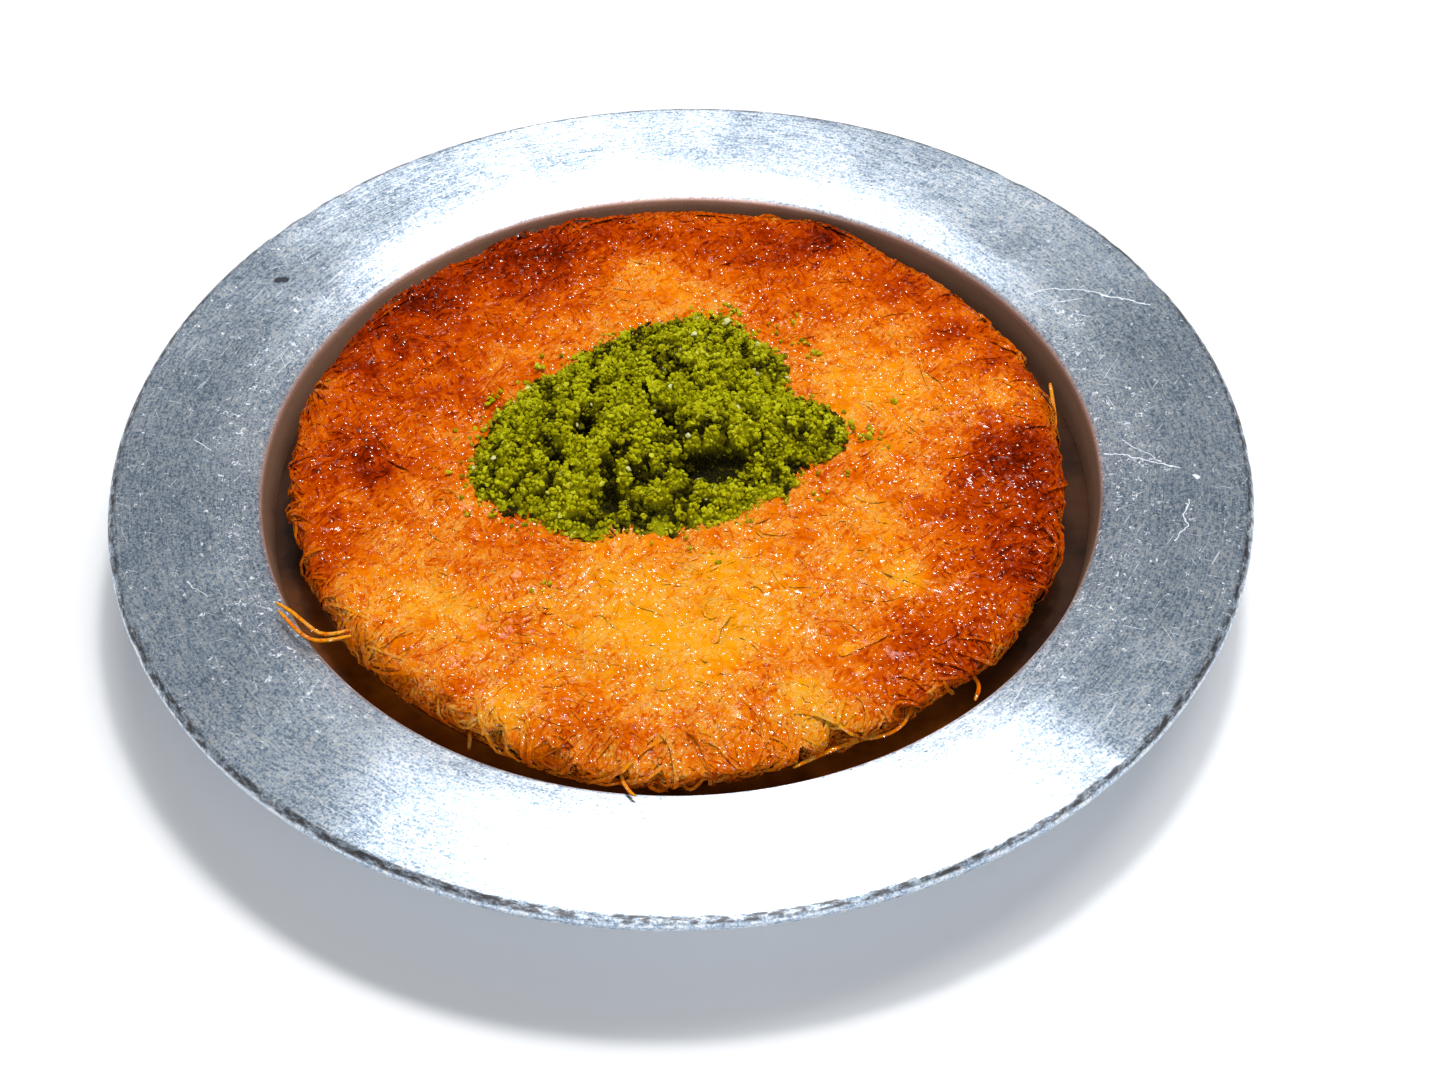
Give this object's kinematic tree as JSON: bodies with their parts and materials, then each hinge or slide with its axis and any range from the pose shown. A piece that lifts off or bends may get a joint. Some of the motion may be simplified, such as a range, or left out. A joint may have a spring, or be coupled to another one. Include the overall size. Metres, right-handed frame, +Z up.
{
  "type": "kunafa",
  "caption": "Round shredded-pastry dessert in a shallow wide-rimmed metal dish, with syrup round it and a heap of crushed green nuts on top.",
  "frame": {"origin": "on the dish's axis, at the surface that the dish stands on", "axes": "+Z up along the dish's axis; -Y is the side nearest the diner, +X to the diner's right"},
  "size_m": [0.2, 0.2, 0.0347],
  "materials": {
    "dish_metal": "circularly brushed, scratched and worn, satin",
    "crust": "golden to deep orange baked shreds, glossy with syrup",
    "syrup": "dark amber, wet and clear",
    "pistachio": "dry bright green crumbs"
  },
  "bodies": {
    "root": {"dish": "dish_metal", "kunafa": "crust", "syrup": "syrup", "pistachio_heap": "pistachio"}
  },
  "joints": []
}
